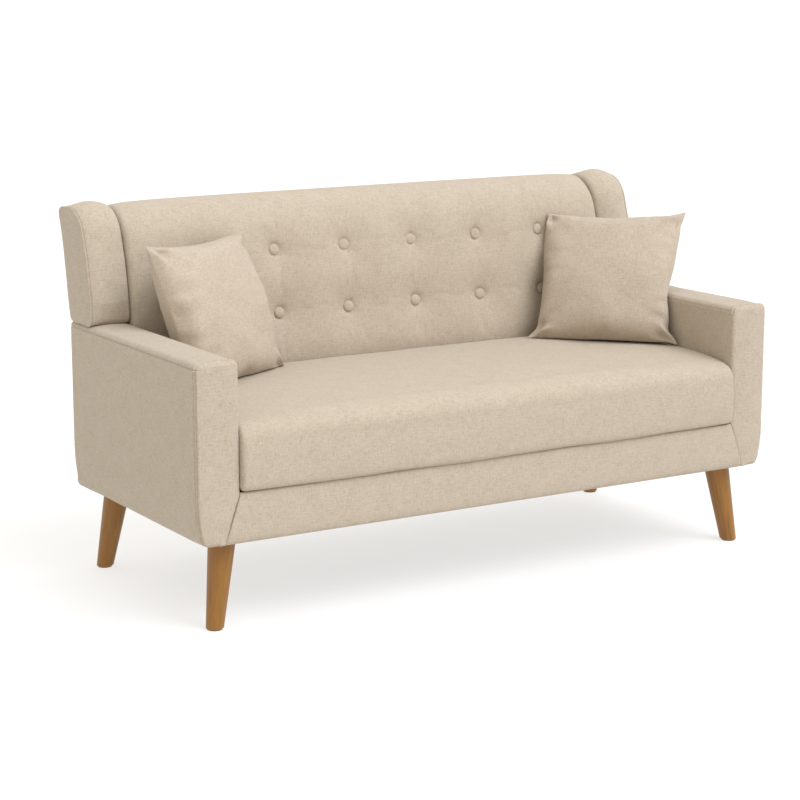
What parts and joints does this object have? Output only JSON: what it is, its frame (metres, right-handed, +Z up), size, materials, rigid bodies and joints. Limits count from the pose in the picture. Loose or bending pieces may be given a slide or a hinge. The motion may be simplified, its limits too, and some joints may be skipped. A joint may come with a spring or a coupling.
{
  "type": "upholstered sofa",
  "caption": "Compact upholstered sofa with a button-tufted back, side wings, slim square arms, splayed tapered wooden legs and loose throw pillows.",
  "frame": {"origin": "on the floor under the middle of the overall width and depth", "axes": "+X across the width towards the side seen on the right from in front, +Y from the seat towards the back, +Z up"},
  "size_m": [1.5, 0.711, 0.848],
  "materials": {
    "fabric": "woven beige linen-look upholstery, matt",
    "pillow_fabric": "the same woven fabric, matt",
    "foam": "soft polyurethane foam",
    "pillow_fill": "polyester fibre fill",
    "leg_wood": "walnut-stained hardwood, satin lacquer",
    "frame_timber": "unfinished softwood and board",
    "steel": "zinc-plated steel",
    "felt": "needled insulator felt",
    "webbing": "elastic webbing and waxed twine",
    "dust_cloth": "black non-woven cloth",
    "glide_plastic": "wood-brown nail-on glide"
  },
  "bodies": {
    "root": {"base_front_rail": "frame_timber", "base_rear_rail": "frame_timber", "base_side_rail_left": "frame_timber", "base_side_rail_right": "frame_timber", "base_centre_rail": "frame_timber", "corner_blocks": "frame_timber", "corner_block_screws": "steel", "tee_nuts": "steel", "leg_front_left": "leg_wood", "leg_front_right": "leg_wood", "leg_rear_left": "leg_wood", "leg_rear_right": "leg_wood", "hanger_bolts": "steel", "leg_glides": "glide_plastic", "seat_springs": "steel", "spring_clips": "steel", "spring_insulator": "felt", "seat_foam": "foam", "seat_cover": "fabric", "front_band": "fabric", "dust_cover": "dust_cloth", "arm_posts_left": "frame_timber", "arm_posts_right": "frame_timber", "arm_rails_left": "frame_timber", "arm_rails_right": "frame_timber", "arm_inner_board_left": "frame_timber", "arm_inner_board_right": "frame_timber", "arm_outer_board_left": "frame_timber", "arm_outer_board_right": "frame_timber", "arm_pad_left": "foam", "arm_pad_right": "foam", "arm_cover_left": "fabric", "arm_cover_right": "fabric", "arm_bolts": "steel", "arm_bolt_washers": "steel", "side_bolts": "steel", "back_post_left": "frame_timber", "back_post_right": "frame_timber", "back_post_centre": "frame_timber", "back_top_rail": "frame_timber", "back_lower_rails": "frame_timber", "back_screws": "steel", "back_webbing": "webbing", "back_foam": "foam", "back_cover": "fabric", "outside_back_panel": "fabric", "tufting_buttons": "fabric", "button_ties": "webbing", "tie_toggles": "frame_timber", "wing_board_left": "frame_timber", "wing_board_right": "frame_timber", "wing_foam_left": "foam", "wing_foam_right": "foam", "wing_cover_left": "fabric", "wing_cover_right": "fabric"},
    "pillow_left": {"pillow_cover_left": "pillow_fabric", "pillow_fill_left": "pillow_fill"},
    "pillow_right": {"pillow_cover_right": "pillow_fabric", "pillow_fill_right": "pillow_fill"}
  },
  "joints": [
    {"name": "pillow_left_lift", "type": "slide", "parent": "root", "child": "pillow_left", "axis": [0, 0, 1], "range_m": [0, 0.45]},
    {"name": "pillow_right_lift", "type": "slide", "parent": "root", "child": "pillow_right", "axis": [0, 0, 1], "range_m": [0, 0.45]}
  ]
}
